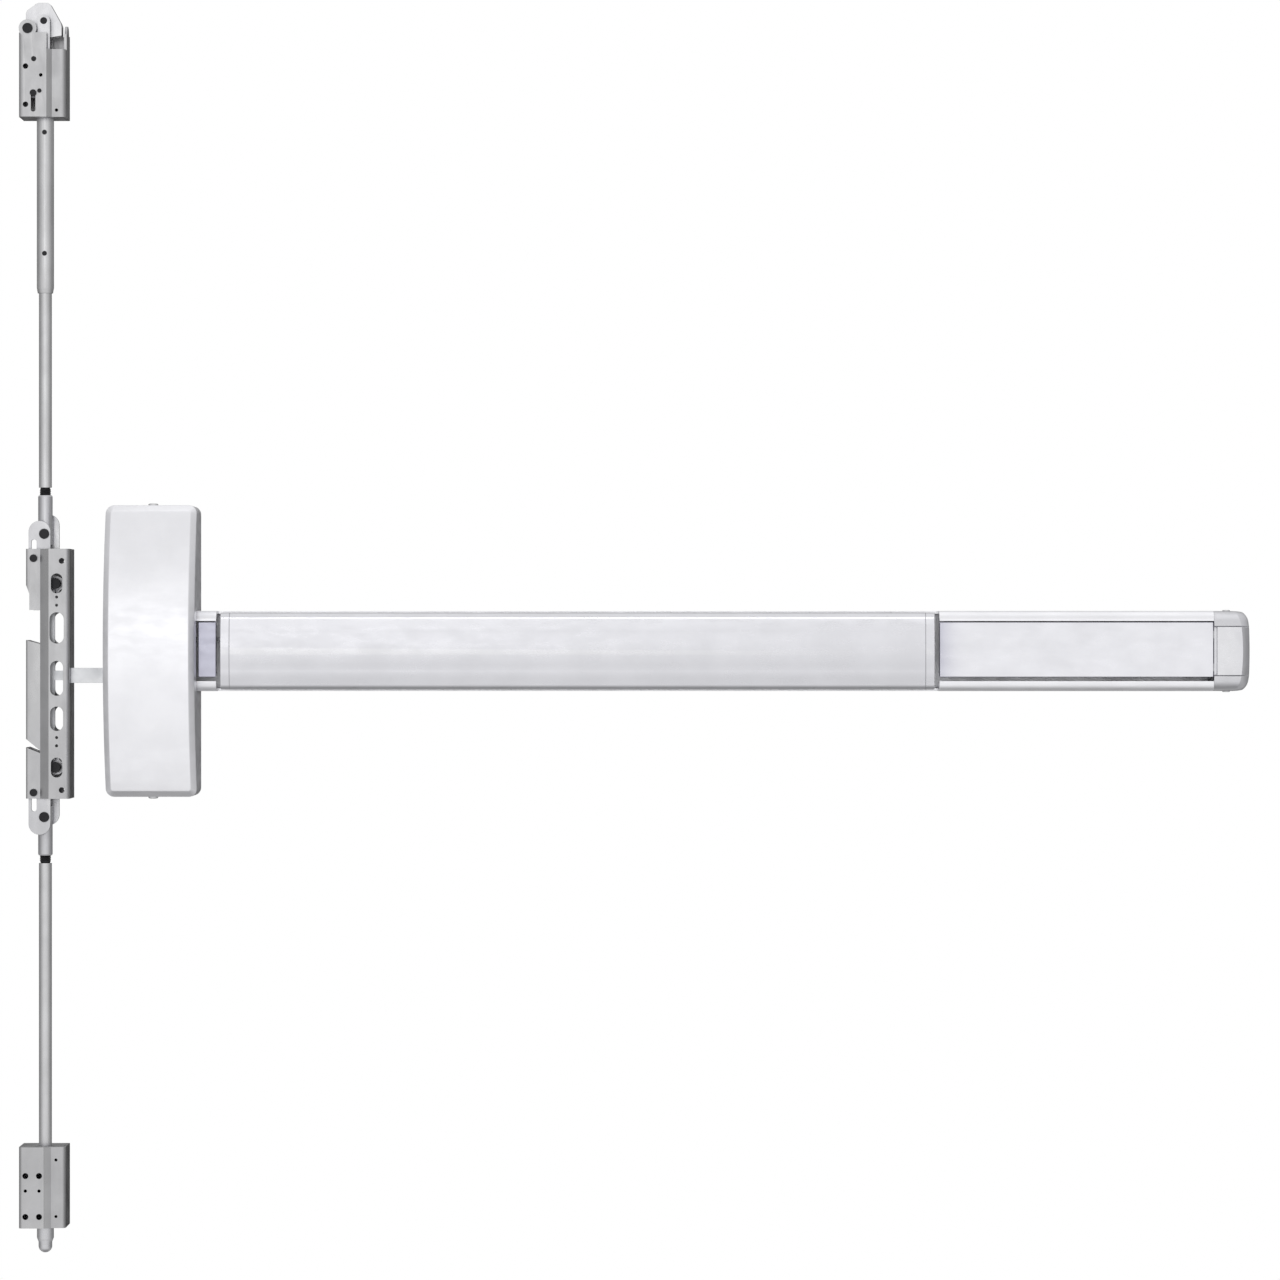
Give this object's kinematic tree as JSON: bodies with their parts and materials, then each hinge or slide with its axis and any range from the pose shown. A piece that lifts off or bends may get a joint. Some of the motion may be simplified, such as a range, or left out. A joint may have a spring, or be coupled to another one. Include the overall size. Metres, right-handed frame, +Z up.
{
  "type": "panic exit bar",
  "caption": "Push-pad panic exit bar with a tall case and rail, driving concealed vertical rods with a pivoting top bolt and a sliding bottom bolt.",
  "frame": {"origin": "centre of the case on the door face", "axes": "+X along the bar from the case to the end cap, +Y into the door, +Z up"},
  "size_m": [0.8974, 0.1074, 0.9186],
  "materials": {
    "satin_aluminium": "satin, finely brushed along the bar, clear anodised",
    "pad_aluminium": "satin, finely brushed along the pad",
    "filler_aluminium": "satin anodised",
    "zinc_steel": "zinc plated pressed steel",
    "bright_screws": "zinc plated screws",
    "pin_steel": "ground steel",
    "spring_steel": "oiled spring wire",
    "bumper_rubber": "moulded rubber",
    "cast_rocker": "cast and tumbled",
    "housing_steel": "plated pressed steel",
    "lever_steel": "plated steel with stamped edges",
    "rod_steel": "drawn steel rod",
    "bolt_steel": "machined steel",
    "black_oxide": "black oxide"
  },
  "bodies": {
    "door_side": {"base_plate": "zinc_steel", "case_cover": "satin_aluminium", "cover_brackets": "zinc_steel", "cover_screws": "bright_screws", "rail": "satin_aluminium", "rail_filler_left": "filler_aluminium", "rail_filler_right": "filler_aluminium", "rail_screws": "bright_screws", "mechanism_channel": "zinc_steel", "rocker_brackets": "zinc_steel", "rocker_pivot_pins": "pin_steel", "pad_bumpers": "bumper_rubber", "spring_abutment": "zinc_steel", "return_spring": "spring_steel", "end_cap": "satin_aluminium", "end_bracket": "zinc_steel", "end_cap_screws": "bright_screws", "transfer_guide": "zinc_steel", "centre_housing": "housing_steel", "centre_back_plate": "housing_steel", "housing_spacers": "pin_steel", "lever_studs": "black_oxide", "slide_guide_pins": "black_oxide", "top_latch_housing": "housing_steel", "top_latch_cover": "housing_steel", "top_latch_pins": "black_oxide", "top_latch_spring": "spring_steel", "bottom_latch_housing": "housing_steel", "bottom_latch_cover": "housing_steel", "bottom_latch_spring": "spring_steel"},
    "pad": {"push_pad": "pad_aluminium", "pad_carrier": "zinc_steel", "pad_end_caps": "pad_aluminium", "pad_pins": "pin_steel"},
    "left_rocker": {"rocker_left": "cast_rocker"},
    "right_rocker": {"rocker_right": "cast_rocker"},
    "draw": {"drawbar": "pin_steel", "drawbar_pins": "pin_steel", "transfer_arm": "zinc_steel", "transfer_bar": "zinc_steel", "yoke_pins": "black_oxide", "transfer_screws": "bright_screws"},
    "upper_crank": {"upper_lever": "lever_steel"},
    "lower_crank": {"lower_lever": "lever_steel"},
    "upper_rods": {"upper_slide": "lever_steel", "upper_slide_pins": "black_oxide", "top_connector": "lever_steel", "top_adjusting_stud": "black_oxide", "top_rod": "rod_steel", "top_rod_tube": "rod_steel", "top_rod_pins": "black_oxide", "top_rod_head": "lever_steel"},
    "lower_rods": {"lower_slide": "lever_steel", "lower_slide_pins": "black_oxide", "bottom_connector": "lever_steel", "bottom_adjusting_stud": "black_oxide", "bottom_rod": "rod_steel", "bottom_rod_pin": "black_oxide", "bottom_bolt": "bolt_steel"},
    "latch_bolt": {"top_bolt": "bolt_steel"}
  },
  "joints": [
    {"name": "pad_press", "type": "slide", "parent": "door_side", "child": "pad", "axis": [0, 1, 0], "range_m": [0, 0.016]},
    {"name": "left_rocker_turn", "type": "hinge", "parent": "door_side", "child": "left_rocker", "pos_m": [0.14, -0.025, 0], "axis": [0, 0, 1], "range_deg": [-30.5, 0]},
    {"name": "right_rocker_turn", "type": "hinge", "parent": "door_side", "child": "right_rocker", "pos_m": [0.5, -0.025, 0], "axis": [0, 0, 1], "range_deg": [-30.5, 0]},
    {"name": "drawbar_slide", "type": "slide", "parent": "door_side", "child": "draw", "axis": [1, 0, 0], "range_m": [0, 0.0076], "deforming": ["return_spring"]},
    {"name": "upper_crank_turn", "type": "hinge", "parent": "door_side", "child": "upper_crank", "pos_m": [-0.075, 0.022, 0.0495], "axis": [0, 1, 0], "range_deg": [-48.42, 0]},
    {"name": "lower_crank_turn", "type": "hinge", "parent": "door_side", "child": "lower_crank", "pos_m": [-0.075, 0.022, -0.0855], "axis": [0, 1, 0], "range_deg": [0, 48.42]},
    {"name": "top_rod_draw", "type": "slide", "parent": "door_side", "child": "upper_rods", "axis": [0, 0, -1], "range_m": [0, 0.0121], "deforming": ["top_latch_spring"]},
    {"name": "bottom_rod_draw", "type": "slide", "parent": "door_side", "child": "lower_rods", "axis": [0, 0, 1], "range_m": [0, 0.0121], "deforming": ["bottom_latch_spring"]},
    {"name": "top_bolt_turn", "type": "hinge", "parent": "door_side", "child": "latch_bolt", "pos_m": [-0.0948, 0.022, 0.4564], "axis": [0, 1, 0], "range_deg": [0, 56.43]}
  ],
  "couplings": [
    {"joint": "left_rocker_turn", "follows": "pad_press", "rad_per_m": -32.725},
    {"joint": "right_rocker_turn", "follows": "pad_press", "rad_per_m": -32.725},
    {"joint": "drawbar_slide", "follows": "pad_press", "ratio": 0.46891},
    {"joint": "upper_crank_turn", "follows": "pad_press", "rad_per_m": -52.278},
    {"joint": "lower_crank_turn", "follows": "pad_press", "rad_per_m": 52.278},
    {"joint": "top_rod_draw", "follows": "pad_press", "ratio": 0.75},
    {"joint": "bottom_rod_draw", "follows": "pad_press", "ratio": 0.75},
    {"joint": "top_bolt_turn", "follows": "pad_press", "rad_per_m": 61.015}
  ]
}
